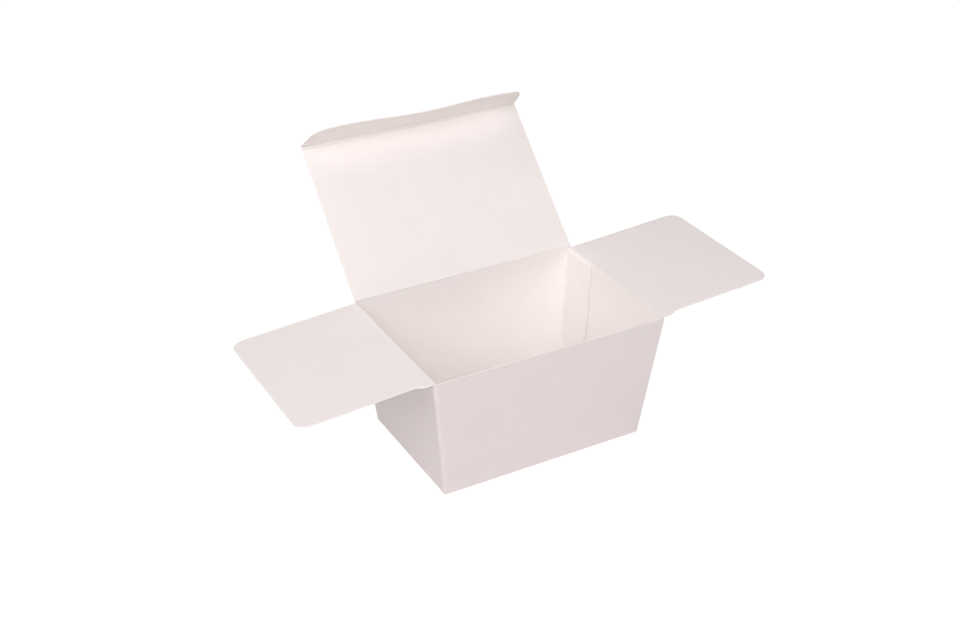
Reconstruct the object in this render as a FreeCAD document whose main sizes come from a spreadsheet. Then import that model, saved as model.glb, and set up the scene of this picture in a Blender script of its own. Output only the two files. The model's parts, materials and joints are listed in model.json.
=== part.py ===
import FreeCAD, Part
import os
import re

import Sketcher

# A ballotin: a small sweet box folded and glued from one blank of white boxboard.
# The walls lean outwards from a small base to a wider mouth. A lid with a tuck flap
# hangs on the back wall and a dust flap hangs on each end wall. Millimetres; X runs
# along the front, Y from front to back, Z up from the middle of the base.

SIZES = [
    ("board", "0.5", "thickness of the boxboard"),
    ("crease_gap", "0.15", "gap left at a crease between a panel and the one it turns on"),
    ("rim_length", "106", "length of the mouth, outside"),
    ("rim_width", "73", "width of the mouth, outside"),
    ("rim_height", "57.5", "height of the lid's crease above the table"),
    ("base_length", "93.4", "length of the base, outside"),
    ("base_width", "62.4", "width of the base, outside"),
    ("corner_radius", "0.6", "inner radius of the four upright folds"),
    ("base_radius", "0.4", "outer radius of the folds round the base"),
    ("tab_top_width", "17.5", "width of the glue tab at its upper end"),
    ("tab_base_width", "20", "width of the glue tab at the base"),
    ("tab_drop", "2.2", "how far the glue tab stops below the walls' upper edge"),
    ("end_panel", "20", "reach of the base panels folded in from the end walls"),
    ("rear_panel", "20", "reach of the base panel folded in from the back wall"),
    ("panel_gap", "0.5", "gap between the folded base panels and the walls beside them"),
    ("lid_side_gap", "0.42", "how far each side of the lid stops short of the mouth's end"),
    ("tuck_inset", "2", "how far the closed tuck's crease lies behind the front face"),
    ("lid_opening", "136.7", "angle that the lid stands open from closed"),
    ("tuck_height", "17.5", "reach of the tuck flap from its crease"),
    ("tuck_radius", "4.5", "corner radius of the tuck flap"),
    ("tuck_side_gap", "0.2", "gap between the tuck flap's sides and the end walls"),
    ("tuck_fold", "88", "angle that the tuck flap is folded from the lid's plane"),
    ("slit_room", "0.4", "room left round a dust flap's shoulder in the tuck's slit"),
    ("lid_ear", "1.1", "how far the lid's ends run past the tuck's crease at the slits"),
    ("flap_step", "0.65", "how far the dust flaps' creases lie below the lid's"),
    ("flap_length", "55.7", "reach of a dust flap from its crease"),
    ("flap_radius", "5.5", "radius of a dust flap's outer corners"),
    ("flap_back_gap", "1.2", "how far a dust flap stops short of the back face"),
    ("flap_front_gap", "2.6", "how far a dust flap stops short of the front face"),
    ("root_gap", "1.15", "how far a dust flap's crease stops short of the front face"),
    ("shoulder_gap", "0.85", "how far a dust flap's shoulder stops short of the front face"),
    ("shoulder_start", "2", "distance from the crease at which the shoulder begins"),
    ("shoulder_end", "4.2", "distance from the crease at which the shoulder ends"),
    ("shoulder_foot", "7.4", "distance from the crease at which the plain edge begins"),
    ("left_angle", "4", "angle that the left dust flap hangs below level"),
    ("right_angle", "3.8", "angle that the right dust flap stands above level"),
]

# Formulas that several panels share, in the spreadsheet's own names.
END_LEAN = "((rim_length - base_length) / 2 / rim_height)"
SIDE_LEAN = "((rim_width - base_width) / 2 / rim_height)"
WALL_TOP = "(rim_height - board / 2 - crease_gap)"
FLAP_AXIS_Z = "(rim_height - flap_step)"
FLAP_AXIS_X = f"(base_length / 2 + {END_LEAN} * {FLAP_AXIS_Z} - board / 2)"
LID_AXIS_Y = "(rim_width / 2 - board / 2)"
LID_HALF = "(rim_length / 2 - lid_side_gap)"
LID_DEPTH = f"({LID_AXIS_Y} + rim_width / 2 - tuck_inset)"
LID_SLOPE = "(180 - lid_opening)"
TUCK_HALF = "(rim_length / 2 - board - tuck_side_gap)"
TUCK_ROOT_HALF = f"({FLAP_AXIS_X} - shoulder_foot - crease_gap)"
SLIT_DEPTH = "(flap_step + board / 2 + slit_room)"

doc = FreeCAD.newDocument("Ballotin")
sheet = doc.addObject("Spreadsheet::Sheet", "Sizes")
for row, (alias, number, meaning) in enumerate(SIZES, start=1):
    sheet.set(f"A{row}", meaning)
    sheet.set(f"B{row}", number)
    sheet.setAlias(f"B{row}", alias)
doc.recompute()

ALIASES = re.compile(r"\b(" + "|".join(alias for alias, _, _ in SIZES) + r")\b")


def bound(formula):
    """Write a formula of cell names as an expression on the spreadsheet."""
    return ALIASES.sub(r"Sizes.\1", formula)


def value(formula):
    """What a formula comes to with the cells as they are."""
    return float(sheet.evalExpression(bound(formula)))


def half_length(height, walls):
    """Half the box's length at a height, less so many thicknesses of end wall."""
    wall = f"board * sqrt(1 + {END_LEAN}^2)"
    return f"(base_length / 2 + {END_LEAN} * ({height}) - {walls} * {wall})"


def half_width(height, walls):
    """Half the box's width at a height, less so many thicknesses of front wall."""
    wall = f"board * sqrt(1 + {SIDE_LEAN}^2)"
    return f"(base_width / 2 + {SIDE_LEAN} * ({height}) - {walls} * {wall})"


def new_body(label):
    body = doc.addObject("PartDesign::Body", label)
    body.Label = label
    return body


def new_sketch(body, name, height="0", plane="XY_Plane"):
    """An empty sketch on one of the body's own planes, raised by a formula."""
    sketch = body.newObject("Sketcher::SketchObject", name)
    support = next(each for each in body.Origin.OriginFeatures if each.Role == plane)
    sketch.AttachmentSupport = [(support, "")]
    sketch.MapMode = "FlatFace"
    sketch.setExpression("AttachmentOffset.Base.z", bound(height))
    return sketch


def pin_point(sketch, line, x, y):
    """Hold the start of a line at a place given by two formulas."""
    for kind, axis, formula in (("DistanceX", -2, x), ("DistanceY", -1, y)):
        if formula == "0":
            sketch.addConstraint(Sketcher.Constraint("PointOnObject", line, 1, axis))
            continue
        rule = Sketcher.Constraint(kind, -1, 1, line, 1, value(formula))
        number = sketch.addConstraint(rule)
        sketch.setExpression(f"Constraints[{number}]", bound(formula))


def outline(body, name, corners, height="0"):
    """A closed run of lines through corners, each a pair of formulas."""
    sketch = new_sketch(body, name, height)
    spots = [FreeCAD.Vector(value(x), value(y), 0) for x, y in corners]
    for here, there in zip(spots, spots[1:] + spots[:1]):
        sketch.addGeometry(Part.LineSegment(here, there))
    for line, (x, y) in enumerate(corners):
        before = (line - 1) % len(corners)
        sketch.addConstraint(Sketcher.Constraint("Coincident", before, 2, line, 1))
        pin_point(sketch, line, x, y)
    return sketch


def rectangle(x_low, x_high, y_low, y_high):
    return [(x_low, y_low), (x_high, y_low), (x_high, y_high), (x_low, y_high)]


def wedge(body, kind, name, low, high, walls):
    """A block of the box's sloping form between two heights, as wide as the walls'
    outside (0 walls) or inside (1). A wedge stands along its own Y, so it is laid on
    the upright XZ plane."""
    feature = body.newObject(f"PartDesign::{kind}", name)
    support = next(each for each in body.Origin.OriginFeatures if each.Role == "XZ_Plane")
    feature.AttachmentSupport = [(support, "")]
    feature.MapMode = "FlatFace"
    limits = {
        "Ymin": low,
        "Ymax": high,
        "Xmin": f"-{half_length(low, walls)}",
        "Xmax": half_length(low, walls),
        "X2min": f"-{half_length(high, walls)}",
        "X2max": half_length(high, walls),
        "Zmin": f"-{half_width(low, walls)}",
        "Zmax": half_width(low, walls),
        "Z2min": f"-{half_width(high, walls)}",
        "Z2max": half_width(high, walls),
    }
    for limit, formula in limits.items():
        feature.setExpression(limit, bound(formula))
    doc.recompute()
    return feature


def loft(body, name, lower, upper):
    feature = body.newObject("PartDesign::AdditiveLoft", name)
    feature.Profile = lower
    feature.Sections = [upper]
    feature.Ruled = True
    doc.recompute()
    return feature


def pad(body, name, sketch, length, midplane=False):
    feature = body.newObject("PartDesign::Pad", name)
    feature.Profile = sketch
    feature.Midplane = midplane
    feature.setExpression("Length", bound(length))
    doc.recompute()
    return feature


def round_edges(body, name, radius, wanted):
    """Fillet the edges of the body as it stands that pass a test."""
    base = body.Tip
    edges = [f"Edge{n}" for n, edge in enumerate(base.Shape.Edges, 1) if wanted(edge)]
    feature = body.newObject("PartDesign::Fillet", name)
    feature.Base = (base, edges)
    feature.setExpression("Radius", bound(radius))
    doc.recompute()
    return feature


def corner_edges(rise, reach_x, reach_y):
    """A test for the sloping edges where the walls meet: they climb most of the
    height and lie further out than the given reaches."""

    def wanted(edge):
        ends = [vertex.Point for vertex in edge.Vertexes]
        climbs = len(ends) == 2 and abs(ends[0].z - ends[1].z) > rise
        return climbs and all(abs(p.x) > reach_x and abs(p.y) > reach_y for p in ends)

    return wanted


def base_edges(edge):
    """A test for the edges round the underside."""
    return all(abs(vertex.Point.z) < 1e-6 for vertex in edge.Vertexes)


def box_body():
    """The four walls, the base and the glue tab: one folded and glued sheet."""
    body = new_body("box_body")
    wedge(body, "AdditiveWedge", "outside", "0", WALL_TOP, 0)
    climb = value(f"{WALL_TOP} / 2")
    inner_x, inner_y = value("base_length / 2 - 3 * board"), value("base_width / 2 - 3 * board")
    upright = corner_edges(climb, inner_x, inner_y)
    round_edges(body, "upright_folds", "corner_radius + board", upright)
    round_edges(body, "base_folds", "base_radius", base_edges)

    wedge(body, "SubtractiveWedge", "inside", "board", f"({WALL_TOP} + board)", 1)
    within_x, within_y = value(half_length("board", 0.5)), value(half_width("board", 0.5))

    def inner_upright(edge):
        ends = [vertex.Point for vertex in edge.Vertexes]
        low = min(ends, key=lambda point: point.z)
        climbs = abs(ends[0].z - ends[-1].z) > climb
        return climbs and abs(low.x) < within_x and abs(low.y) < within_y

    round_edges(body, "inner_folds", "corner_radius", inner_upright)
    crease_ledges(body)
    glue_tab(body)
    base_panels(body)
    return body


def crease_ledges(body):
    """Lower each end wall's edge under its dust flap's crease."""
    front = "(-rim_width / 2 + root_gap - crease_gap)"
    back = "(rim_width / 2 - flap_back_gap + crease_gap)"
    inner = half_length(WALL_TOP, 3)
    outer = half_length(WALL_TOP, -1)
    for side, name in ((-1, "left"), (1, "right")):
        near, far = f"{side} * {inner}", f"{side} * {outer}"
        corners = rectangle(near, far, front, back)
        sketch = outline(body, f"{name}_ledge_outline", corners, WALL_TOP)
        before = body.Tip.Shape.Volume
        cut = body.newObject("PartDesign::Pocket", f"{name}_ledge")
        cut.Profile = sketch
        cut.setExpression("Length", bound(f"{WALL_TOP} - ({FLAP_AXIS_Z} - board / 2 - crease_gap)"))
        doc.recompute()
        if cut.Shape.Volume >= before:
            raise RuntimeError(f"{name}_ledge cuts nothing")


def glue_tab(body):
    """The narrow panel of the back wall that is glued inside the right end wall."""

    def section(name, height, width):
        free_edge = f"({half_width(height, 1)} - {width})"
        corners = rectangle(
            half_length(height, 2), half_length(height, 0.5), free_edge, half_width(height, 0.5)
        )
        return outline(body, name, corners, height)

    low = section("tab_foot", "board / 2", "tab_base_width")
    high = section("tab_head", f"({WALL_TOP} - tab_drop)", "tab_top_width")
    loft(body, "glue_tab", low, high)


def base_panels(body):
    """The panels folded in from the ends and the back, glued down on the base."""
    x, y = half_length("board", 1), half_width("board", 1)
    x_sunk, y_sunk = half_length("board", 0.5), half_width("board", 0.5)
    for side, name in ((-1, "left"), (1, "right")):
        root = f"({y} - panel_gap)"
        tip = f"({y} - panel_gap - end_panel)"
        corners = [
            (f"{side} * {x_sunk}", f"-{root}"),
            (f"{side} * {x}", f"-{root}"),
            (f"{side} * ({x} - end_panel)", f"-{tip}"),
            (f"{side} * ({x} - end_panel)", tip),
            (f"{side} * {x}", root),
            (f"{side} * {x_sunk}", root),
        ]
        sketch = outline(body, f"{name}_panel_outline", corners, "board")
        pad(body, f"{name}_base_panel", sketch, "board")
    root = f"({x} - panel_gap)"
    tip = f"({x} - panel_gap - rear_panel)"
    corners = [
        (f"-{root}", y_sunk),
        (f"-{root}", y),
        (f"-{tip}", f"{y} - rear_panel"),
        (tip, f"{y} - rear_panel"),
        (root, y),
        (root, y_sunk),
    ]
    sketch = outline(body, "rear_panel_outline", corners, "board")
    pad(body, "rear_base_panel", sketch, "board")


def crease_root(body, name, half, plane, centre="0"):
    """The rounded edge of a panel along its own crease, which it turns about."""
    sketch = new_sketch(body, f"{name}_section", centre, plane)
    sketch.addGeometry(Part.Circle(FreeCAD.Vector(0, 0, 0), FreeCAD.Vector(0, 0, 1), value("board / 2")))
    sketch.addConstraint(Sketcher.Constraint("Coincident", 0, 3, -1, 1))
    number = sketch.addConstraint(Sketcher.Constraint("Radius", 0, value("board / 2")))
    sketch.setExpression(f"Constraints[{number}]", bound("board / 2"))
    return pad(body, name, sketch, f"2 * {half}", midplane=True)


def round_corners(body, name, radius, x_least, y_least):
    """Round the corners of a flat panel that lie beyond a place on it."""

    def wanted(edge):
        first, last = edge.Vertexes[0].Point, edge.Vertexes[-1].Point
        upright = abs(first.x - last.x) < 1e-6 and abs(first.y - last.y) < 1e-6
        return upright and abs(first.x) > value(x_least) and abs(first.y) > value(y_least)

    return round_edges(body, name, radius, wanted)


def hang(body, x, y, z, axis, angle):
    """Put a panel drawn flat at its crease where it hangs, turned about the crease."""
    body.Placement = FreeCAD.Placement(FreeCAD.Vector(), FreeCAD.Rotation(axis, value(angle)))
    for letter, formula in zip("xyz", (x, y, z)):
        body.setExpression(f"Placement.Base.{letter}", bound(formula))
    body.setExpression("Placement.Rotation.Angle", bound(angle))
    doc.recompute()


def lid():
    """The top panel, creased to the back wall. Where the tuck's crease is slit, at
    both ends, the panel runs on as a short ear."""
    body = new_body("lid")
    far_edge = f"({LID_DEPTH} - board / 2 - crease_gap)"
    ear_root = f"({TUCK_ROOT_HALF} + crease_gap)"
    half_shape = [
        (LID_HALF, "0"),
        (LID_HALF, f"{LID_DEPTH} + lid_ear"),
        (ear_root, f"{LID_DEPTH} + lid_ear"),
        (ear_root, far_edge),
    ]
    corners = half_shape + [(f"-{x}", y) for x, y in reversed(half_shape)]
    pad(body, "panel", outline(body, "panel_outline", corners), "board", midplane=True)
    crease_root(body, "crease", LID_HALF, "YZ_Plane")
    hang(body, "0", LID_AXIS_Y, "rim_height", FreeCAD.Vector(1, 0, 0), LID_SLOPE)
    return body


def tuck_flap():
    """The flap along the lid's front edge, slit at both ends of its crease."""
    body = new_body("tuck_flap")
    slit_end = f"({TUCK_HALF} - {END_LEAN} * {SLIT_DEPTH})"
    tip_end = f"({TUCK_HALF} - {END_LEAN} * tuck_height)"
    half_shape = [
        (TUCK_ROOT_HALF, "0"),
        (TUCK_ROOT_HALF, SLIT_DEPTH),
        (slit_end, SLIT_DEPTH),
        (tip_end, "tuck_height"),
    ]
    corners = half_shape + [(f"-{x}", y) for x, y in reversed(half_shape)]
    pad(body, "panel", outline(body, "panel_outline", corners), "board", midplane=True)
    round_corners(body, "corners", "tuck_radius", TUCK_ROOT_HALF, "tuck_height / 2")
    crease_root(body, "crease", TUCK_ROOT_HALF, "YZ_Plane")
    y = f"{LID_AXIS_Y} + {LID_DEPTH} * cos({LID_SLOPE})"
    z = f"rim_height + {LID_DEPTH} * sin({LID_SLOPE})"
    turn = f"{LID_SLOPE} + tuck_fold"
    hang(body, "0", y, z, FreeCAD.Vector(1, 0, 0), turn)
    return body


def dust_flap(label, side, angle):
    """A flap creased to an end wall (side -1 left, 1 right), with a shoulder in front
    that the tuck's slit catches when the box is shut."""
    body = new_body(label)
    front = "(-rim_width / 2 + {})".format
    back = "(rim_width / 2 - flap_back_gap)"
    shape = [
        ("0", front("root_gap")),
        (f"{side} * shoulder_start", front("shoulder_gap")),
        (f"{side} * shoulder_end", front("shoulder_gap")),
        (f"{side} * shoulder_foot", front("flap_front_gap")),
        (f"{side} * flap_length", front("flap_front_gap")),
        (f"{side} * flap_length", back),
        ("0", back),
    ]
    pad(body, "panel", outline(body, "panel_outline", shape), "board", midplane=True)
    round_corners(body, "corners", "flap_radius", "flap_length / 2", "0")
    half = f"(({back} - {front('root_gap')}) / 2)"
    centre = f"-({back} + {front('root_gap')}) / 2"
    crease_root(body, "crease", half, "XZ_Plane", centre)
    hang(body, f"{side} * {FLAP_AXIS_X}", "0", FLAP_AXIS_Z, FreeCAD.Vector(0, 1, 0), angle)
    return body


pieces = [
    box_body(),
    lid(),
    tuck_flap(),
    dust_flap("left_flap", -1, "-left_angle"),
    dust_flap("right_flap", 1, "-right_angle"),
]
doc.recompute()

for thing in doc.Objects:
    faults = {"Invalid", "Error"}.intersection(thing.State)
    if faults:
        raise RuntimeError(f"{thing.Name} is {', '.join(sorted(faults))}")
for piece in pieces:
    if piece.Shape.isNull() or not piece.Shape.isValid() or len(piece.Shape.Solids) != 1:
        raise RuntimeError(f"{piece.Label} is not one sound solid")

os.makedirs("parts", exist_ok=True)
for piece in pieces:
    piece.Shape.exportStep(f"parts/{piece.Label}.step")
    box = piece.Shape.BoundBox
    print(f"{piece.Label}: {piece.Shape.Volume:.1f} mm3, "
          f"X {box.XMin:.2f} to {box.XMax:.2f}, Y {box.YMin:.2f} to {box.YMax:.2f}, "
          f"Z {box.ZMin:.2f} to {box.ZMax:.2f}")
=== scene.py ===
import json
import math

import bmesh
import bpy
from mathutils import Matrix, Vector


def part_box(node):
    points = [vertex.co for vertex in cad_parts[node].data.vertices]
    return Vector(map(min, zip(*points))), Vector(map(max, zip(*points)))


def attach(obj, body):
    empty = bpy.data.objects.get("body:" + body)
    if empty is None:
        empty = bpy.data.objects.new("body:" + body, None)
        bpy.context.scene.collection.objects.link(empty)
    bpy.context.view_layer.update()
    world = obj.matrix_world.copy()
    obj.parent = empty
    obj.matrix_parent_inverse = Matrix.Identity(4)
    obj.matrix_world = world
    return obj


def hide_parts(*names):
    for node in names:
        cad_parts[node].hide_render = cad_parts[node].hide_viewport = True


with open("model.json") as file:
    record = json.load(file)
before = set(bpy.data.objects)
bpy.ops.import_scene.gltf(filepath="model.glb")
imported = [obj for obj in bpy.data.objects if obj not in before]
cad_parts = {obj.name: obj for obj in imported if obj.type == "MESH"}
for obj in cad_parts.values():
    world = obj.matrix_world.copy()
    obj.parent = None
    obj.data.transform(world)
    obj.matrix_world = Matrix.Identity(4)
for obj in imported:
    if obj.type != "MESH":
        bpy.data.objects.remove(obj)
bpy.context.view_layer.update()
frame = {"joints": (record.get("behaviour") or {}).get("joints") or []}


# ---- Camera ---------------------------------------------------------------------------
# A long lens on a stand at the front left of the box, about six box lengths away and
# looking down into it. Angles are in degrees, the camera's reach and lens in millimetres.

MM = 0.001
AIM = Vector((-13.4, 0, 55.8)) * MM
CAMERA_TURN, CAMERA_RISE, CAMERA_ROLL = -29.3, 30.24, 0.33
CAMERA_REACH = 607.1
LENS_LENGTH, FILM_WIDTH = 55.84, 36


def direction(turn, rise):
    """A unit vector out from the box: turned from the front, and raised, in degrees."""
    turn, rise = math.radians(turn), math.radians(rise)
    flat = math.cos(rise)
    return Vector((math.sin(turn) * flat, -math.cos(turn) * flat, math.sin(rise)))


back = direction(CAMERA_TURN, CAMERA_RISE)
roll = math.radians(CAMERA_ROLL)
level = Vector((0, 0, 1)).cross(back).normalized()
above = back.cross(level)
right = level * math.cos(roll) + above * math.sin(roll)
up = above * math.cos(roll) - level * math.sin(roll)

lens = bpy.data.cameras.new("long_lens")
lens.lens = LENS_LENGTH
lens.sensor_width = FILM_WIDTH
camera = bpy.data.objects.new("camera", lens)
stand = Matrix.Translation(AIM + back * CAMERA_REACH * MM)
camera.matrix_world = stand @ Matrix((right, up, back)).transposed().to_4x4()
bpy.context.scene.collection.objects.link(camera)
bpy.context.scene.camera = camera
bpy.context.scene.view_settings.view_transform = "Standard"


# ---- Studio ---------------------------------------------------------------------------
# A wide white table under six soft lamps. The camera, and any gloss, sees the table and
# the room as white, while the box's own soft shadow stays on the table.

TABLE_HALF, TABLE_TOP = 3, -0.05 * MM
TABLE_TONE, SHADOWED_TONE = (0.9, 0.89, 0.89, 1), (0.2, 0.2, 0.2, 1)
# how the table's glow rises with the distance from the box, in metres
GLOW = (("From Min", 0.55), ("From Max", 1), ("To Min", 0.93), ("To Max", 1))
WHITE = (1, 1, 1, 1)
ROOM_LIGHT = 0.03

# name, degrees round the box from the front and above the table, and watts
LAMPS = (
    ("key_softbox", -45, 40, 4.4),
    ("front_softbox", 0, 45, 5.2),
    ("low_front_softbox", -10, 32, 3.7),
    ("low_left_softbox", -90, 26, 4.6),
    ("high_rear_softbox", -150, 65, 3.8),
    ("right_softbox", 45, 45, 0.5),
)
LAMP_REACH, LAMP_WIDTH, LAMP_TINT = 1.3, 0.8, (1, 0.956, 0.959)


def add_node(tree, kind, **settings):
    node = tree.nodes.new(kind)
    for name, setting in settings.items():
        setattr(node, name, setting)
    return node


def combine(tree, operation, *values, clamp=False):
    """The outcome of a sum on values, each a number or a socket."""
    node = add_node(tree, "ShaderNodeMath", operation=operation, use_clamp=clamp)
    for socket, value in zip(node.inputs, values):
        if isinstance(value, (int, float)):
            socket.default_value = value
        else:
            tree.links.new(value, socket)
    return node.outputs[0]


def sees_white(tree):
    """1 for the rays that look at the studio: from the camera, or by way of gloss."""
    path = add_node(tree, "ShaderNodeLightPath")
    seen = path.outputs["Is Camera Ray"]
    for name in ("Is Glossy Ray", "Is Transmission Ray"):
        seen = combine(tree, "MAXIMUM", seen, path.outputs[name])
    return seen


def white_table():
    """Pale board that throws light back on the box, and looks white but for shadows. It
    glows a little less near the box, where the lamps make up the rest of the white."""
    material = bpy.data.materials.new("white_table")
    material.use_nodes = True
    tree = material.node_tree
    tree.nodes.clear()
    plain = add_node(tree, "ShaderNodeBsdfDiffuse")
    plain.inputs["Color"].default_value = TABLE_TONE
    shadowed = add_node(tree, "ShaderNodeBsdfDiffuse")
    shadowed.inputs["Color"].default_value = SHADOWED_TONE
    place = add_node(tree, "ShaderNodeNewGeometry")
    distance = add_node(tree, "ShaderNodeVectorMath", operation="LENGTH")
    brighten = add_node(tree, "ShaderNodeMapRange")
    for name, setting in GLOW:
        brighten.inputs[name].default_value = setting
    glow = add_node(tree, "ShaderNodeEmission")
    seen = add_node(tree, "ShaderNodeAddShader")
    choose = add_node(tree, "ShaderNodeMixShader")
    surface = add_node(tree, "ShaderNodeOutputMaterial")
    for output, socket in (
        (place.outputs["Position"], distance.inputs[0]),
        (distance.outputs["Value"], brighten.inputs["Value"]),
        (brighten.outputs["Result"], glow.inputs["Strength"]),
        (shadowed.outputs[0], seen.inputs[0]),
        (glow.outputs[0], seen.inputs[1]),
        (sees_white(tree), choose.inputs["Fac"]),
        (plain.outputs[0], choose.inputs[1]),
        (seen.outputs[0], choose.inputs[2]),
        (choose.outputs[0], surface.inputs["Surface"]),
    ):
        tree.links.new(output, socket)
    return material


table_corners = [(x * TABLE_HALF, y * TABLE_HALF) for x, y in ((-1, -1), (1, -1), (1, 1), (-1, 1))]
table_mesh = bpy.data.meshes.new("table")
table_mesh.from_pydata([(x, y, TABLE_TOP) for x, y in table_corners], [], [(0, 1, 2, 3)])
table_mesh.materials.append(white_table())
table = bpy.data.objects.new("table", table_mesh)
bpy.context.scene.collection.objects.link(table)

room = bpy.data.worlds.new("white_room")
room.use_nodes = True
bpy.context.scene.world = room
room_tree = room.node_tree
room_light = room_tree.nodes["Background"]
room_light.inputs["Color"].default_value = WHITE
room_light.inputs["Strength"].default_value = ROOM_LIGHT
room_seen = add_node(room_tree, "ShaderNodeBackground")
room_seen.inputs["Color"].default_value = WHITE
room_choice = add_node(room_tree, "ShaderNodeMixShader")
room_tree.links.new(sees_white(room_tree), room_choice.inputs["Fac"])
room_tree.links.new(room_light.outputs[0], room_choice.inputs[1])
room_tree.links.new(room_seen.outputs[0], room_choice.inputs[2])
room_tree.links.new(room_choice.outputs[0], room_tree.nodes["World Output"].inputs["Surface"])

for name, turn, rise, power in LAMPS:
    lamp = bpy.data.lights.new(name, "AREA")
    lamp.shape = "SQUARE"
    lamp.size = LAMP_WIDTH
    lamp.energy = power
    lamp.color = LAMP_TINT
    softbox = bpy.data.objects.new(name, lamp)
    towards = direction(turn, rise)
    softbox.location = AIM + towards * LAMP_REACH
    softbox.rotation_euler = towards.to_track_quat("Z", "Y").to_euler()
    bpy.context.scene.collection.objects.link(softbox)


# ---- Boxboard -------------------------------------------------------------------------
# The whole box is one sheet of white folding boxboard: clay-coated and slightly silky
# outside, plainer and warmer inside, with soft pulp showing where it is die-cut.

BOARD = 0.5 * MM
EASE = 0.07 * MM
OUTSIDE_TONE, INSIDE_TONE = (0.825, 0.767, 0.763), (0.955, 0.917, 0.896)
PULP_DULL, PULP_CLEAR = (0.95, 0.92, 0.9), (0.98, 0.96, 0.945)
# a face's tone is multiplied by these where it clouds over, where it is clear, and where
# shade is painted in thin lines; along a fold it goes towards the pale tone of the bare board
CLOUDED, CLEAR, PAINTED_SHADE_TONE, BARE = 0.975, 1.02, 0.72, 0.97
SILK_SPREAD = 0.05
GRAIN_SCALE, PULP_SCALE = (14 * MM, 0.5 * MM), (1.2 * MM, 0.15 * MM)
GRAIN_RELIEF, PULP_RELIEF = (0.5, 0.02 * MM), (0.8, 0.04 * MM)
CLOUD_IN_RELIEF = 2.5
FOLD_FLECK = 1.5 * MM
WELD, SHARP = 0.002 * MM, math.radians(38)


def effect_group(name, inputs, outputs):
    """An empty node group with number sockets, and its two ends."""
    group = bpy.data.node_groups.new(name, "ShaderNodeTree")
    for label, usual in inputs:
        socket = group.interface.new_socket(
            name=label, in_out="INPUT", socket_type="NodeSocketFloat"
        )
        socket.default_value = usual
    for label in outputs:
        group.interface.new_socket(name=label, in_out="OUTPUT", socket_type="NodeSocketFloat")
    return group, add_node(group, "NodeGroupInput"), add_node(group, "NodeGroupOutput")


def grain_group():
    """The board close up: clouds of tone, fine fibres and a slightly uneven face."""
    sizes = zip(("Cloud Size", "Fibre Size"), GRAIN_SCALE)
    group, taken, given = effect_group("board_grain", sizes, ("Cloud", "Relief"))
    place = add_node(group, "ShaderNodeTexCoord")

    def noise(size, detail):
        scale = combine(group, "DIVIDE", 1, taken.outputs[size])
        texture = add_node(group, "ShaderNodeTexNoise")
        texture.inputs["Detail"].default_value = detail
        group.links.new(place.outputs["Object"], texture.inputs["Vector"])
        group.links.new(scale, texture.inputs["Scale"])
        return texture.outputs["Fac"]

    cloud = noise("Cloud Size", 3)
    fibre = noise("Fibre Size", 4)
    relief = combine(group, "MULTIPLY_ADD", cloud, CLOUD_IN_RELIEF, fibre)
    group.links.new(cloud, given.inputs["Cloud"])
    group.links.new(relief, given.inputs["Relief"])
    return group


def fold_group():
    """Where the sheet is folded its coat is stretched: a broken mask along each fold. And a
    mask of painted shade where the fold attribute is below zero: the shade in the groove
    beside the tuck's crease, and the shadow beside the glue tab's free edge."""
    inputs = (("Strength", 1.0), ("Break Up", 0.3))
    group, taken, given = effect_group("fold_stretch_and_shade", inputs, ("Mask", "Painted Shade"))
    folded = add_node(group, "ShaderNodeAttribute", attribute_name="fold").outputs["Fac"]
    place = add_node(group, "ShaderNodeTexCoord")
    flecks = add_node(group, "ShaderNodeTexNoise")
    flecks.inputs["Scale"].default_value = 1 / FOLD_FLECK
    flecks.inputs["Detail"].default_value = 2
    group.links.new(place.outputs["Object"], flecks.inputs["Vector"])
    thinned = combine(group, "MULTIPLY", flecks.outputs["Fac"], taken.outputs["Break Up"])
    kept = combine(group, "SUBTRACT", folded, thinned, clamp=True)
    mask = combine(group, "MULTIPLY", kept, taken.outputs["Strength"], clamp=True)
    # painted shade: a mask where the fold attribute is below zero
    pressed = combine(group, "MULTIPLY", folded, -1, clamp=True)
    group.links.new(mask, given.inputs["Mask"])
    group.links.new(pressed, given.inputs["Painted Shade"])
    return group


board_grain = grain_group()
fold_stretch_and_shade = fold_group()


def board_material(name, gloss):
    """A new material with the board's grain in it: the material, its tree, its shader and
    the grain."""
    material = bpy.data.materials.new(name)
    material.use_nodes = True
    tree = material.node_tree
    shader = tree.nodes["Principled BSDF"]
    shader.inputs["Specular IOR Level"].default_value = gloss
    return material, tree, shader, add_node(tree, "ShaderNodeGroup", node_tree=board_grain)


def mix_tones(tree, factor, first, second):
    """A colour between two, each a tone or a socket."""
    mix = add_node(tree, "ShaderNodeMix", data_type="RGBA")
    tree.links.new(factor, mix.inputs["Factor"])
    for socket, tone in ((mix.inputs["A"], first), (mix.inputs["B"], second)):
        if isinstance(tone, tuple):
            socket.default_value = (*tone, 1)
        else:
            tree.links.new(tone, socket)
    return mix.outputs["Result"]


def emboss(tree, shader, grain, strength, depth):
    """Give the surface the grain's relief."""
    bump = add_node(tree, "ShaderNodeBump")
    bump.inputs["Strength"].default_value = strength
    bump.inputs["Distance"].default_value = depth
    tree.links.new(grain.outputs["Relief"], bump.inputs["Height"])
    tree.links.new(bump.outputs["Normal"], shader.inputs["Normal"])


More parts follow.
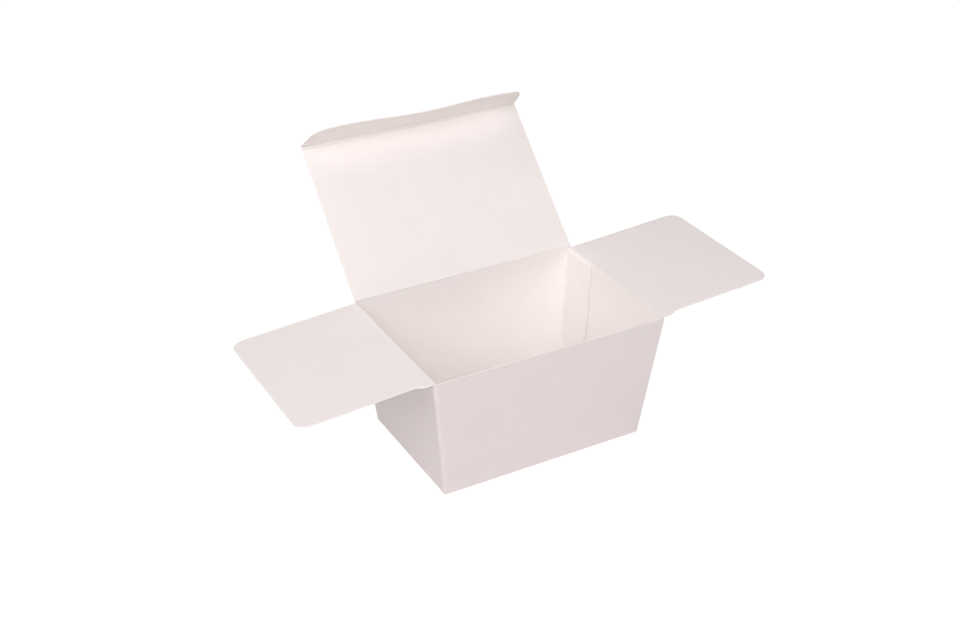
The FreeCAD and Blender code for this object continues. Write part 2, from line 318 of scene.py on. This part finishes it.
def board_face(name, tone, rough, gloss, stretch):
    """One face of the board: a tone that clouds over a little, paler along the folds, and
    darker where shade is painted in thin lines."""
    material, tree, shader, grain = board_material(name, gloss)
    folds = add_node(tree, "ShaderNodeGroup", node_tree=fold_stretch_and_shade)
    folds.inputs["Strength"].default_value = stretch

    clouded = tuple(part * CLOUDED for part in tone)
    clear = tuple(min(part * CLEAR, 1) for part in tone)
    paled = tuple((part + BARE) / 2 for part in tone)
    # a darker copy of the tone, for the painted shade
    shaded_tone = tuple(part * PAINTED_SHADE_TONE for part in tone)
    colour = mix_tones(tree, grain.outputs["Cloud"], clouded, clear)
    colour = mix_tones(tree, folds.outputs["Mask"], colour, paled)
    colour = mix_tones(tree, folds.outputs["Painted Shade"], colour, shaded_tone)
    tree.links.new(colour, shader.inputs["Base Color"])

    silk = add_node(tree, "ShaderNodeMapRange")
    silk.inputs["To Min"].default_value = rough - SILK_SPREAD
    silk.inputs["To Max"].default_value = rough + SILK_SPREAD
    tree.links.new(grain.outputs["Cloud"], silk.inputs["Value"])
    tree.links.new(silk.outputs["Result"], shader.inputs["Roughness"])
    emboss(tree, shader, grain, *GRAIN_RELIEF)
    return material


def cut_pulp(rough, gloss):
    """The die-cut edge: uncoated pulp, matt and finely fibrous."""
    material, tree, shader, grain = board_material("cut_pulp", gloss)
    shader.inputs["Roughness"].default_value = rough
    for label, size in zip(("Cloud Size", "Fibre Size"), PULP_SCALE):
        grain.inputs[label].default_value = size
    colour = mix_tones(tree, grain.outputs["Cloud"], PULP_DULL, PULP_CLEAR)
    tree.links.new(colour, shader.inputs["Base Color"])
    emboss(tree, shader, grain, *PULP_RELIEF)
    return material


INSIDE, OUTSIDE, CUT = range(3)
board_finish = (
    board_face("board_inside", INSIDE_TONE, rough=0.62, gloss=0.25, stretch=0.1),
    board_face("board_outside", OUTSIDE_TONE, rough=0.5, gloss=0.4, stretch=0.12),
    cut_pulp(rough=0.9, gloss=0.1),
)


def finish_board(bm, name, body):
    """Turn a folded or cut piece of board into an object that rides on a body."""
    bmesh.ops.remove_doubles(bm, verts=bm.verts[:], dist=WELD)
    bmesh.ops.recalc_face_normals(bm, faces=bm.faces[:])
    mesh = bpy.data.meshes.new(name)
    bm.to_mesh(mesh)
    bm.free()
    for material in board_finish:
        mesh.materials.append(material)
    mesh.polygons.foreach_set("use_smooth", [True] * len(mesh.polygons))
    mesh.set_sharp_from_angle(angle=SHARP)
    piece = bpy.data.objects.new(name, mesh)
    bpy.context.scene.collection.objects.link(piece)
    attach(piece, body)
    return piece


# ---- Box body -------------------------------------------------------------------------
# Four walls that lean out from the base, bent from one strip and closed by a glue tab.
# The front wall's top is a cut edge; the others run on into the flaps and the lid.

joints = {joint["name"]: joint for joint in frame["joints"]}
lid_crease = Vector(joints["lid_crease"]["pos_m"])
flap_crease = Vector(joints["right_flap_crease"]["pos_m"])
wall_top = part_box("box_body")[1]

FRONT_WALL, RIGHT_WALL, BACK_WALL, LEFT_WALL = range(4)
BASE_HALF = (46.7 * MM, 31.2 * MM)
LEAN = tuple((wall_top[axis] - BASE_HALF[axis]) / wall_top.z for axis in (0, 1))
# the upright folds; the front left one is softer, and stands out to the left
FOLD_INNER = 0.6 * MM
FOLD_OUTER = FOLD_INNER + BOARD
FOLD_STEPS = 6
FOLD_EASE, FOLD_SPREAD = 0.3 * MM, 2.2 * MM
EASE_TOP, EASE_FOOT = 5 * MM, 12 * MM
FLARE_HEAD, FLARE_FOOT, FLARE_RISE = 0.84 * MM, 0.22 * MM, 15 * MM
FLARE_LEAST = 0.12
FLARE_WIDTH, FLARE_WIDENS = 1.5 * MM, 3 * MM
# the fold round the base, the seam under it where the base meets the wall, and the floor
BASE_FOLD = 0.45 * MM
FLOOR_FOLD = 0.4 * MM
FLOOR_INSET = 1.05 * MM
SEAM = ((0, 0.88 * MM), (0.3 * MM, 0.82 * MM), (0.3 * MM, 0.72 * MM), (0.03 * MM, 0.64 * MM))
WALL_FOOT, WALL_STEPS = 2.5 * MM, 12
# the walls' upper edge, as heights from its crease or cut and depths from either face
CREASE_REACH = 0.95 * MM
CREASED_EDGE = (
    (-CREASE_REACH, 0),
    (-0.62 * MM, 0.06 * MM),
    (-0.42 * MM, 0.05 * MM),
    (-0.2 * MM, 0.05 * MM),
    (0.1 * MM, 0.17 * MM),
)
CUT_EDGE = ((-CREASE_REACH, 0), (-0.62 * MM, 0), (-0.42 * MM, 0), (-EASE, 0), (0, EASE))
# each fold's top dips so far towards the end wall, where a flap's crease begins
NOTCH = 0.8 * MM
# how far the coat is stretched beside an upright fold, and beside a level one
UPRIGHT_STRETCH, LEVEL_STRETCH = 0.9 * MM, 0.8 * MM
# the glued corner: how far the right wall's cut edge lies in, and the tab's turn behind it
GLUED_SETBACK = 0.35 * MM
TAB_TURN = ((0.78, 0.63), (0.4, 0.92))


def nearness(distance, width):
    """1 on a line, and less the further from it: about a third at the given width."""
    return math.exp(-((distance / width) ** 2))


def fold_ease(number, height):
    """How far the walls ease in beside the front left fold, the softest of the four."""
    if number % 4 != 0:
        return 0
    near_ends = min(1, max(0, (wall_top.z - height) / EASE_TOP), height / EASE_FOOT)
    return FOLD_EASE * max(0, near_ends) ** 0.5


def flare(number, height):
    """The front left fold stands out to the left, the more the higher, and its foot is
    drawn a little to the front."""
    if number % 4 != 0:
        return Vector((0, 0))
    foot = max(0, 1 - height / FLARE_RISE) ** 2
    head = FLARE_LEAST + (1 - FLARE_LEAST) * height / wall_top.z
    return Vector((-FLARE_HEAD * head, -FLARE_FOOT * foot))


def corner_centre(number, height):
    """The centre of an upright fold at a height; folds run round from the front left."""
    inset = FOLD_OUTER + fold_ease(number, height)
    side_x = -1 if number % 4 in (0, 3) else 1
    side_y = -1 if number % 4 in (0, 1) else 1
    return Vector(
        (
            side_x * (BASE_HALF[0] + LEAN[0] * height - inset),
            side_y * (BASE_HALF[1] + LEAN[1] * height - inset),
        )
    )


def glued_corner():
    """The back right corner from outside: the right wall's cut edge stands over the
    back wall's fold, which turns in behind it as the glue tab."""
    edge = FOLD_OUTER - GLUED_SETBACK
    corner = [(FOLD_OUTER, 0), (FOLD_OUTER, edge - EASE), (FOLD_OUTER - EASE, edge)]
    corner.append((FOLD_INNER, edge))
    corner += [(FOLD_INNER * x, BOARD + FOLD_INNER * y) for x, y in TAB_TURN]
    corner.append((0, FOLD_OUTER))
    return [Vector(point) for point in corner]


def strip_samples():
    """Places round the walls: (fold number, share of the way to the next fold, outer and
    inner offset from the fold's centre, wall or None on a fold, share of the fold)."""
    shares = [0.004, 0.01, 0.02, 0.035, 0.055, 0.08] + [step / 20 for step in range(2, 19)]
    shares += [0.92, 0.945, 0.965, 0.98, 0.99, 0.996]
    samples = []
    for number in range(4):
        start = math.radians(180 + 90 * number)
        angles = [start + math.radians(90 / FOLD_STEPS) * step for step in range(FOLD_STEPS + 1)]
        outer = [Vector((math.cos(a), math.sin(a))) * FOLD_OUTER for a in angles]
        inner = [Vector((math.cos(a), math.sin(a))) * FOLD_INNER for a in angles]
        if number == BACK_WALL:
            outer = glued_corner()
        for place, (out, into) in enumerate(zip(outer, inner)):
            samples.append((number, 0, out, into, None, place / FOLD_STEPS))
        for share in shares:
            samples.append((number, share, outer[-1], inner[-1], number, 0))
    return samples


def wall_rows(wall, place, number):
    """Heights and depths from the outer face, from under the base, up the outside, over
    the wall's top and down the inside to the floor. Also the height of the wall's crease
    or cut, and the number of the row where its upper edge begins."""
    rows = [(0, FLOOR_INSET)]
    rows += [(0 if wall == FRONT_WALL else height, depth) for height, depth in SEAM]
    for angle in range(75, -1, -15):
        slope = math.radians(angle)
        rows.append((BASE_FOLD * (1 - math.sin(slope)), BASE_FOLD * (1 - math.cos(slope))))
    if wall in (RIGHT_WALL, BACK_WALL, LEFT_WALL):
        axis = lid_crease.z if wall == BACK_WALL else flap_crease.z
        profile = CREASED_EDGE
    else:
        axis = wall_top.z
        profile = CUT_EDGE
        if wall is None:
            dip = place if number % 2 else 1 - place
            axis -= NOTCH * max(0, 2 * dip - 1)
    high = axis - CREASE_REACH
    steps = [WALL_FOOT + (high - WALL_FOOT) * step / WALL_STEPS for step in range(WALL_STEPS)]
    rows += [(height, 0) for height in steps]
    edge = len(rows)
    rows += [(axis + rise, depth) for rise, depth in profile]
    rows += [(axis + rise, BOARD - depth) for rise, depth in reversed(profile)]
    rows += [(height, BOARD) for height in reversed(steps)]
    for angle in (0, 22, 45, 68, 90):
        slope = math.radians(angle)
        rise, reach = 1 - math.sin(slope), 1 - math.cos(slope)
        rows.append((BOARD + FLOOR_FOLD * rise, BOARD + FLOOR_FOLD * reach))
    rows.append((BOARD, FLOOR_INSET))
    return rows, axis, edge


def wall_spot(sample, height, depth):
    """Where a place round the walls lies at a height, so deep in from the outer face."""
    number, share, outer, inner, wall, _ = sample
    here = corner_centre(number, height)
    there = corner_centre(number + 1, height)
    length = (there - here).length
    if depth <= BOARD:
        offset = outer.lerp(inner, depth / BOARD)
    else:
        offset = inner * (1 - (depth - BOARD) / FOLD_INNER)
    spot = here.lerp(there, share) + offset
    if wall is not None:
        eases = (fold_ease(number, height), fold_ease(number + 1, height))
        fade = [math.exp(-length * part / FOLD_SPREAD) for part in (share, 1 - share)]
        swell = eases[0] * (1 - share - fade[0]) + eases[1] * (share - fade[1])
        spot += outer.normalized() * swell
    if wall == LEFT_WALL:
        reach = FLARE_WIDTH + FLARE_WIDENS * (1 - height / wall_top.z)
        spot += flare(number + 1, height) * math.exp(-length * (1 - share) / reach)
    else:
        spot += flare(number, height) * (1 - share)
    return Vector((spot.x, spot.y, height)), length * min(share, 1 - share)


def stretched(wall, run, height, axis):
    """How near a fold a place on a wall is, from 0 to 1 on the fold."""
    bends = [nearness(run, UPRIGHT_STRETCH) if wall is not None else 1]
    bends.append(nearness(height, LEVEL_STRETCH))
    if wall in (RIGHT_WALL, BACK_WALL, LEFT_WALL):
        bends.append(nearness(axis - height, LEVEL_STRETCH))
    return max(bends)


def build_walls():
    """The four walls, the base's underside and the floor, as one closed skin of board."""
    bm = bmesh.new()
    fold = bm.verts.layers.float.new("fold")
    columns = []
    samples = strip_samples()
    for sample in samples:
        number, _, _, _, wall, place = sample
        rows, axis, edge = wall_rows(wall, place, number)
        column = []
        for height, depth in rows:
            spot, run = wall_spot(sample, height, depth)
            vertex = bm.verts.new(spot)
            vertex[fold] = stretched(wall, run, height, axis)
            column.append(vertex)
        columns.append(column)
    for index, column in enumerate(columns):
        before = columns[index - 1]
        wall = samples[index][4]
        free_top = wall == FRONT_WALL or wall is None
        for row in range(len(column) - 1):
            face = bm.faces.new((before[row], column[row], column[row + 1], before[row + 1]))
            if free_top and edge + 3 <= row <= edge + 5:
                face.material_index = CUT
            elif row <= edge + 4:
                face.material_index = OUTSIDE
            else:
                face.material_index = INSIDE
    under = bm.faces.new([column[0] for column in reversed(columns)])
    under.material_index = OUTSIDE
    floor = bm.faces.new([column[-1] for column in columns])
    floor.material_index = INSIDE
    return bm


walls = finish_board(build_walls(), "folded_walls", "box")
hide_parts("box_body")


# ---- Glue tab and base panels ---------------------------------------------------------
# Flat panels of the same sheet: the tab lies glued inside the right wall, and three
# mitred panels, folded in from the ends and the back, lie glued on the base.

# the tab: its width at foot and head, the heights of its ends, its free top corner, and
# how far its root runs into the back wall
TAB_FOOT, TAB_HEAD = 19.2 * MM, 18 * MM
TAB_LOW, TAB_HIGH = 1.05 * MM, flap_crease.z - 1 * MM
TAB_ROUND, TAB_SUNK = 1.5 * MM, 0.05 * MM
# the free edge: how far it has lifted and over what width, and the shadow painted beside it
TAB_LIFT, TAB_LIFT_REACH = 0.15 * MM, 3 * MM
TAB_SHADOW, SHADOW_TOP, SHADOW_FOOT = 0.15 * MM, 0.25, 0.5
# by what share the board is pressed thinner at the tab's top and at its free edge, and
# how far in from them
TOP_PRESSED, EDGE_PRESSED = (0.75, 0.7 * MM), (0.4, 1 * MM)
# the base panels: reach from the wall, gap at their ends, corners, and how far their
# roots run into the wall; there the board rises into the fold
PANEL_REACH, PANEL_GAP, PANEL_ROUND = 20 * MM, 0.5 * MM, 1 * MM
PANEL_SUNK, PANEL_STRETCH = 0.1 * MM, 1 * MM
PANEL_FOOT, PANEL_RISE = 0.8 * MM, 0.6 * MM


def eased(outline, inset):
    """The outline with every side moved in by a small distance."""
    moved = []
    for index, corner in enumerate(outline):
        before, after = outline[index - 1], outline[(index + 1) % len(outline)]
        sides = [(corner - before).normalized(), (after - corner).normalized()]
        normals = [Vector((-side.y, side.x)) for side in sides]
        moved.append(corner + (normals[0] + normals[1]) * inset / (1 + normals[0].dot(normals[1])))
    return moved


def cut_blank(outline, s_cuts, t_cuts):
    """A flat piece cut to an outline in s and t, ready to bend: closed, divided along
    the given lines, and with z from -1 on its outer face to 1 on its inner face."""
    bm = bmesh.new()
    rings = []
    for side, inset in ((-1, EASE), (-0.7, 0), (0.7, 0), (1, EASE)):
        rings.append([bm.verts.new((*corner, side)) for corner in eased(outline, inset)])
    for lower, upper in zip(rings, rings[1:]):
        for index in range(len(outline)):
            bm.faces.new((lower[index - 1], lower[index], upper[index], upper[index - 1]))
    bm.faces.new(rings[-1])
    bm.faces.new(reversed(rings[0]))
    for across, cuts in ((Vector((1, 0, 0)), s_cuts), (Vector((0, 1, 0)), t_cuts)):
        for cut in cuts:
            everything = bm.verts[:] + bm.edges[:] + bm.faces[:]
            bmesh.ops.bisect_plane(
                bm, geom=everything, dist=1e-7, plane_co=across * cut, plane_no=across
            )
    return bm


def bend_board(bm, lay, folds_and_shade_at, hidden_below=None):
    """Lay each point of a blank where a function puts it, and note its faces. Edges below
    a given t are hidden in a crease, and have the coat and not the pulp."""
    # fold is how near a fold a point lies; below zero it marks painted shade
    fold = bm.verts.layers.float.new("fold")
    for face in bm.faces:
        middle = face.calc_center_median()
        if middle.z > 0.99:
            face.material_index = INSIDE
        elif middle.z < -0.99:
            face.material_index = OUTSIDE
        elif hidden_below is not None and middle.y < hidden_below:
            face.material_index = INSIDE if middle.z > 0 else OUTSIDE
        else:
            face.material_index = CUT
    for vertex in bm.verts:
        s, t, side = vertex.co
        vertex[fold] = folds_and_shade_at(s, t)
        vertex.co = lay(s, t, side)
    return bm


def round_corner(before, corner, after, radius, steps=7):
    """The points of an arc that takes a corner off an outline."""
    to_before, to_after = (before - corner).normalized(), (after - corner).normalized()
    half = math.acos(max(-1, min(1, to_before.dot(to_after)))) / 2
    reach = radius / math.tan(half)
    centre = corner + (to_before + to_after).normalized() * radius / math.sin(half)
    first, last = corner + to_before * reach - centre, corner + to_after * reach - centre
    turn = math.atan2(first.cross(last), first.dot(last))
    turns = [turn * step / steps for step in range(steps + 1)]
    return [centre + Matrix.Rotation(angle, 2) @ first for angle in turns]


def spread(low, high, gap):
    """Evenly spaced cuts between two places."""
    count = max(1, round((high - low) / gap))
    return [low + (high - low) * step / count for step in range(1, count)]


def inner_half(axis, height):
    """From the middle of the box to a wall's inner face."""
    return BASE_HALF[axis] + LEAN[axis] * height - BOARD


def quarter_rise(share):
    """The height of a unit quarter circle that starts level, at a share of its width."""
    return 1 - math.sqrt(max(0, 1 - min(share, 1) ** 2))


def tab_free_edge(height):
    """Where the tab's free edge stands at a height, back from the middle of the box."""
    share = (height - TAB_LOW) / (TAB_HIGH - TAB_LOW)
    return inner_half(1, height) - (TAB_FOOT + (TAB_HEAD - TAB_FOOT) * share)


def lay_tab(s, t, side):
    """s is along the box's depth, t up the wall. The board is pressed thinner towards its
    cut edges, and its free edge has lifted a little."""
    into_fold = max(0, 1 - (inner_half(1, t) - s) / FOLD_INNER)
    corner = FOLD_INNER * quarter_rise(into_fold)
    from_edge = s - tab_free_edge(t)
    lift = TAB_LIFT * math.exp(-from_edge / TAB_LIFT_REACH)
    pressed = 1 - TOP_PRESSED[0] * nearness(TAB_HIGH - t, TOP_PRESSED[1])
    pressed *= 1 - EDGE_PRESSED[0] * nearness(from_edge, EDGE_PRESSED[1])
    out = inner_half(0, t) - BOARD * (0.5 + side / 2) * pressed - corner - lift
    return Vector((out, s, t))


def tab_shadow(s, t):
    """Painted shadow of the gap under the lifted free edge: a thin dark line, darkest low down."""
    low = 1 - (t - TAB_LOW) / (TAB_HIGH - TAB_LOW)
    return -nearness(s - tab_free_edge(t), TAB_SHADOW) * (SHADOW_TOP + SHADOW_FOOT * low)


tab_corners = [
    Vector((tab_free_edge(TAB_LOW), TAB_LOW)),
    Vector((inner_half(1, TAB_LOW) + TAB_SUNK, TAB_LOW)),
    Vector((inner_half(1, TAB_HIGH) + TAB_SUNK, TAB_HIGH)),
    Vector((tab_free_edge(TAB_HIGH), TAB_HIGH)),
]
tab_outline = tab_corners[:3]
tab_outline += round_corner(tab_corners[2], tab_corners[3], tab_corners[0], TAB_ROUND)
tab_root = [inner_half(1, TAB_HIGH) - distance * MM for distance in (0.1, 0.3, 0.6, 1)]
tab_sides = tab_root + spread(12 * MM, 32 * MM, 2 * MM)
tab_rows = spread(TAB_LOW, TAB_HIGH - 2 * MM, 4 * MM)
tab_rows += [TAB_HIGH - distance * MM for distance in (2, 1.4, 1, 0.7, 0.45, 0.2)]
tab_blank = cut_blank(tab_outline, tab_sides, tab_rows)
finish_board(bend_board(tab_blank, lay_tab, tab_shadow), "glue_tab", "box")


def base_panel(name, root_half, lay_root):
    """A mitred panel that starts at a wall's foot: s along the wall, t away from it."""
    corners = [
        Vector((-root_half, -PANEL_SUNK)),
        Vector((root_half, -PANEL_SUNK)),
        Vector((root_half - PANEL_REACH, PANEL_REACH)),
        Vector((PANEL_REACH - root_half, PANEL_REACH)),
    ]
    outline = corners[:2]
    outline += round_corner(corners[1], corners[2], corners[3], PANEL_ROUND)
    outline += round_corner(corners[2], corners[3], corners[0], PANEL_ROUND)

    def lay(s, t, side):
        rise = PANEL_RISE * quarter_rise(max(0, 1 - t / PANEL_FOOT))
        height = BOARD * (1.5 + side / 2) + (rise if side > 0 else 0)
        return Vector((*lay_root(s, t), height))

    foot_cuts = [0.1 * MM, 0.3 * MM, PANEL_FOOT]
    blank = cut_blank(outline, spread(-root_half, root_half, 8 * MM), foot_cuts)
    bent = bend_board(blank, lay, lambda s, t: nearness(t, PANEL_STRETCH))
    finish_board(bent, name, "box")


foot_x, foot_y = inner_half(0, BOARD), inner_half(1, BOARD)
base_panel("left_base_panel", foot_y - PANEL_GAP, lambda s, t: (-foot_x + t, s))
base_panel("right_base_panel", foot_y - PANEL_GAP, lambda s, t: (foot_x - t, -s))
base_panel("rear_base_panel", foot_x - PANEL_GAP, lambda s, t: (s, foot_y - t))


# ---- Dust flaps -----------------------------------------------------------------------
# Two flaps creased to the end walls, standing out nearly level. Each has rounded outer
# corners, and a small shoulder in front that locks into the tuck flap's slit.

# a crease: its bead, how deep, how far beside it and how wide the groove is, and the
# share of the bead beyond which a blank's edge is hidden in it
BEAD, GROOVE = 0.3 * MM, 0.05 * MM
GROOVE_PLACE, GROOVE_WIDTH = 0.3 * MM, 0.2 * MM
HIDDEN = 0.9
FLAP_REACH, FLAP_ROUND = 55.7 * MM, 5.5 * MM
FLAP_TILT = {"left": math.radians(-4), "right": math.radians(3.8)}
# the front edge, as distances back from the front face and out from the crease
ROOT, SHOULDER = (1.3 * MM, 0.3 * MM), (1.2 * MM, 2 * MM, 4.2 * MM)
EDGE_FOOT, EDGE_TIP = (3 * MM, 7.4 * MM), 2.6 * MM
FOOT_ROUND, SHOULDER_OUT_ROUND, SHOULDER_IN_ROUND = 2 * MM, 0.6 * MM, 0.8 * MM
FLAP_PROUD = 0.03 * MM
flap_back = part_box("right_flap")[1].y


def half_thickness(t, bead=BEAD, groove=GROOVE):
    """Half the board's thickness near its crease: a bead along the crease's own line,
    a pressed groove beside it, then the plain board."""
    if t < 0:
        return math.sqrt(max(bead**2 - t**2, 0))
    swell = (bead - BOARD / 2) * nearness(t, 0.6 * bead)
    pressed = groove * nearness(t - bead - GROOVE_PLACE, GROOVE_WIDTH)
    return BOARD / 2 + swell - pressed


def crease_cuts(bead=BEAD):
    """Where a blank is divided across its crease, so that bead and groove show."""
    cuts = [-0.97 * bead, -0.87 * bead, -0.7 * bead, -0.5 * bead, -0.25 * bead, 0]
    cuts += [bead * share for share in (0.2, 0.4, 0.6, 0.8, 1)]
    cuts += [bead + step * MM for step in (0.15, 0.3, 0.45, 0.6, 0.9)]
    return cuts


def crease_fold(s, t):
    """How near its crease a place on a panel is, wherever it lies along it."""
    return nearness(t, LEVEL_STRETCH)


def dust_flap(side_name):
    """One flap, with s to the back along its crease and t out from it."""
    side = -1 if side_name == "left" else 1
    tilt = FLAP_TILT[side_name]
    away = Vector((side * math.cos(tilt), 0, math.sin(tilt)))
    normal = Vector((-side * math.sin(tilt), 0, math.cos(tilt)))
    crease = Vector((side * flap_crease.x, 0, flap_crease.z))
    front = -(wall_top.y + FLAP_PROUD)
    edge = [
        Vector((front + ROOT[0], -BEAD)),
        Vector((flap_back, -BEAD)),
        Vector((flap_back, FLAP_REACH)),
        Vector((front + EDGE_TIP, FLAP_REACH)),
        Vector((front + EDGE_FOOT[0], EDGE_FOOT[1])),
        Vector((front + SHOULDER[0], SHOULDER[2])),
        Vector((front + SHOULDER[0], SHOULDER[1])),
        Vector((front + ROOT[0], ROOT[1])),
    ]
    outline = edge[:2]
    outline += round_corner(edge[1], edge[2], edge[3], FLAP_ROUND)
    outline += round_corner(edge[2], edge[3], edge[4], FLAP_ROUND)
    outline += round_corner(edge[3], edge[4], edge[5], FOOT_ROUND, 4)
    outline += round_corner(edge[4], edge[5], edge[6], SHOULDER_OUT_ROUND, 4)
    outline += round_corner(edge[5], edge[6], edge[7], SHOULDER_IN_ROUND, 4)
    outline += edge[7:]

    def lay(s, t, face):
        spot = crease + Vector((0, s, 0)) + away * t
        return spot + normal * (face * half_thickness(t))

    s_cuts = spread(front, flap_back, 6 * MM)
    blank = cut_blank(outline, s_cuts, crease_cuts() + spread(1.5 * MM, FLAP_REACH, 5 * MM))
    bent = bend_board(blank, lay, crease_fold, -HIDDEN * BEAD)
    flap = finish_board(bent, f"{side_name}_dust_flap", f"{side_name}_flap")
    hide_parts(f"{side_name}_flap")


dust_flap("left")
dust_flap("right")


# ---- Lid ------------------------------------------------------------------------------
# The top panel, creased to the back wall and thrown back. Its two front ends run on as
# short ears where the tuck flap's crease is slit.

tuck_crease = Vector(joints["tuck_crease"]["pos_m"])
lid_depth = (tuck_crease - lid_crease).length
lid_away = (tuck_crease - lid_crease).normalized()
lid_inward = Vector((1, 0, 0)).cross(lid_away)
lid_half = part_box("lid")[1].x

# towards the tuck the lid leans to the right, and its left side is drawn in
LID_TAPER, LID_SKEW = 0.75 * MM, 0.35 * MM
# the ears, and the end of the slit that parts each of them from the tuck's crease
EAR, EAR_ROUND = 1.1 * MM, 1 * MM
SLIT_END = 45.13 * MM
EAR_START = SLIT_END + 0.1 * MM
# the tuck's crease, and a line of painted shade along the groove beside it
TUCK_BEAD, TUCK_GROOVE = 0.5 * MM, 0.08 * MM
SHADE_LINE_PLACE, SHADE_LINE_WIDTH = 0.85 * MM, 0.22 * MM
SHADE_LINE_DEPTH, SHADE_LINE_FADE = 0.35, 0.2


def lid_thickness(s, t):
    """Half the lid's thickness, from its own crease to the tuck's."""
    if t < lid_depth / 2 or abs(s) > SLIT_END:
        return half_thickness(min(t, lid_depth / 2))
    return min(BOARD / 2, half_thickness(lid_depth - t, TUCK_BEAD, TUCK_GROOVE))


def lay_lid(s, t, face):
    """s is along the creases, t from the lid's own crease to the tuck's."""
    across = s + LID_SKEW * t / lid_depth
    if s < 0:
        across += LID_TAPER * t / lid_depth * s / -lid_half
    spot = lid_crease + Vector((across, 0, 0)) + lid_away * t
    return spot + lid_inward * (face * lid_thickness(s, t))


def lid_folds_and_shade(s, t):
    """The lid's own crease, and a line of painted shade along the groove beside the tuck's
    bead, which fades to the right."""
    # how dark the painted line of shade is, less so to the right
    depth = SHADE_LINE_DEPTH - SHADE_LINE_FADE * s / lid_half
    return crease_fold(s, t) - depth * nearness(lid_depth - t - SHADE_LINE_PLACE, SHADE_LINE_WIDTH)


lid_side = [
    Vector((lid_half, -BEAD)),
    Vector((lid_half, lid_depth + EAR)),
    Vector((EAR_START, lid_depth + EAR)),
    Vector((EAR_START, lid_depth)),
]
lid_side[1:2] = round_corner(lid_side[0], lid_side[1], lid_side[2], EAR_ROUND, 5)
lid_outline = lid_side + [Vector((-corner.x, corner.y)) for corner in reversed(lid_side)]
lid_cuts = crease_cuts() + spread(1.5 * MM, lid_depth - 2 * MM, 5 * MM)
lid_cuts += [lid_depth - place for place in crease_cuts(TUCK_BEAD) if place > 0]
lid_cuts += [lid_depth - place * MM for place in (0.65, 0.8, 0.95, 1.1, 1.3, 1.6)]
lid_blank = cut_blank(lid_outline, spread(-lid_half, lid_half, 6 * MM), lid_cuts)
lid_bent = bend_board(lid_blank, lay_lid, lid_folds_and_shade, -HIDDEN * BEAD)
lid = finish_board(lid_bent, "lid_panel", "lid")
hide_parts("lid")


# ---- Tuck flap ------------------------------------------------------------------------
# The flap along the lid's front edge, folded up with a slight wave along its edge and
# rounded at its corners. A bead of pressed board runs along its crease.

tuck_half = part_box("tuck_flap")[1].x
TUCK_REACH = 17.5 * MM
TUCK_SLIT = 1.3 * MM
TUCK_ROUND, TUCK_DRAWN_IN = 4.5 * MM, 2.1 * MM
# the fold in degrees: in general, more or less in the middle, more to the right, and in
# waves, which have reached so many radians at either end
TUCK_FOLD, TUCK_BOW, TUCK_TWIST, TUCK_WAVE = 97, -2.3, 0.45, 2.46
TUCK_WAVE_END = 4.35
# how far the flap runs on past its crease, less to the right, and how soon
RUN_ON, RUN_ON_FADE, RUN_ON_REACH = 0.4 * MM, 0.2 * MM, 0.5 * MM


def lay_tuck(s, t, face):
    """s is along the crease, t out from it. The flap runs on a little past its crease, as
    the lid does, before it stands up, and its right side is drawn in towards the tip."""
    if s > 0:
        s -= TUCK_DRAWN_IN * (max(0, t) / TUCK_REACH) ** 3 * s / tuck_half
    share = s / tuck_half
    wave = TUCK_WAVE * math.cos(TUCK_WAVE_END * share)
    fold = math.radians(TUCK_FOLD + TUCK_BOW * (1 - share**2) + TUCK_TWIST * share + wave)
    away = lid_away * math.cos(fold) + lid_inward * math.sin(fold)
    inward = lid_inward * math.cos(fold) - lid_away * math.sin(fold)
    run_on = (RUN_ON - RUN_ON_FADE * share) * (1 - math.exp(-max(0, t) / RUN_ON_REACH))
    spot = tuck_crease + Vector((s, 0, 0)) + away * t + lid_away * run_on
    return spot + inward * (face * half_thickness(t, TUCK_BEAD, TUCK_GROOVE))


tuck_side = [
    Vector((SLIT_END, -TUCK_BEAD)),
    Vector((SLIT_END, TUCK_SLIT)),
    Vector((tuck_half - LEAN[0] * TUCK_SLIT, TUCK_SLIT)),
    Vector((tuck_half - LEAN[0] * TUCK_REACH, TUCK_REACH)),
]
tuck_side[3:] = round_corner(tuck_side[2], tuck_side[3], Vector((0, TUCK_REACH)), TUCK_ROUND, 10)
tuck_outline = tuck_side + [Vector((-corner.x, corner.y)) for corner in reversed(tuck_side)]
tuck_cuts = crease_cuts(TUCK_BEAD) + spread(1.5 * MM, TUCK_REACH, 2 * MM)
tuck_blank = cut_blank(tuck_outline, spread(-tuck_half, tuck_half, 3 * MM), tuck_cuts)
tuck_bent = bend_board(tuck_blank, lay_tuck, crease_fold, -HIDDEN * TUCK_BEAD)
tuck = finish_board(tuck_bent, "tuck_panel", "tuck")
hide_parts("tuck_flap")
